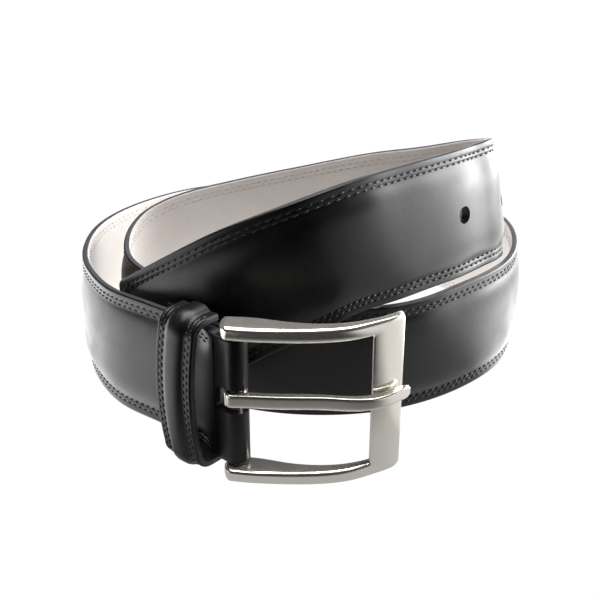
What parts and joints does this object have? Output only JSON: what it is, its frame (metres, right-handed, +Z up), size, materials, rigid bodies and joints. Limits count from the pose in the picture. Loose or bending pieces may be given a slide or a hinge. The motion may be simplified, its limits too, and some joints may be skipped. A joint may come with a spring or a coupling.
{
  "type": "leather belt",
  "caption": "Black padded dress belt, double stitched along both edges, rolled and standing on its edge, with a polished nickel buckle and a fixed keeper.",
  "frame": {"origin": "centre of the rolled belt's footprint, on the surface that it stands on", "axes": "+Z up, along the strap's width and the buckle bar; +X towards the buckle, along the strap where it leaves the buckle; -Y out of the coil through the keeper's face"},
  "size_m": [0.1324, 0.145, 0.0709],
  "materials": {
    "black_leather": "polished",
    "keeper_leather": "polished",
    "lining": "nubuck",
    "keeper_lining": "matt",
    "padding": "felt",
    "thread": "waxed thread",
    "nickel": "polished nickel",
    "prong_nickel": "polished nickel",
    "steel": "plain"
  },
  "bodies": {
    "strap": {"strap_outer_leather": "black_leather", "strap_filler": "padding", "strap_lining": "lining", "seam_lower_edge_row": "thread", "seam_lower_inner_row": "thread", "seam_upper_inner_row": "thread", "seam_upper_edge_row": "thread", "turnback_seam": "thread", "keeper_outer_leather": "keeper_leather", "keeper_filler": "padding", "keeper_lining": "keeper_lining", "keeper_staple": "steel", "keeper_seam_buckle_side": "thread", "keeper_seam_tip_side": "thread"},
    "buckle": {"buckle_frame": "nickel", "buckle_bar": "steel"},
    "prong": {"prong": "prong_nickel"}
  },
  "joints": [
    {"name": "buckle_hinge", "type": "hinge", "parent": "strap", "child": "buckle", "pos_m": [0.03471, -0.06126, 0], "axis": [0, 0, 1], "range_deg": [-50, 15]},
    {"name": "prong_hinge", "type": "hinge", "parent": "buckle", "child": "prong", "pos_m": [0.03471, -0.06126, 0], "axis": [0, 0, 1], "range_deg": [-75, 0]}
  ]
}
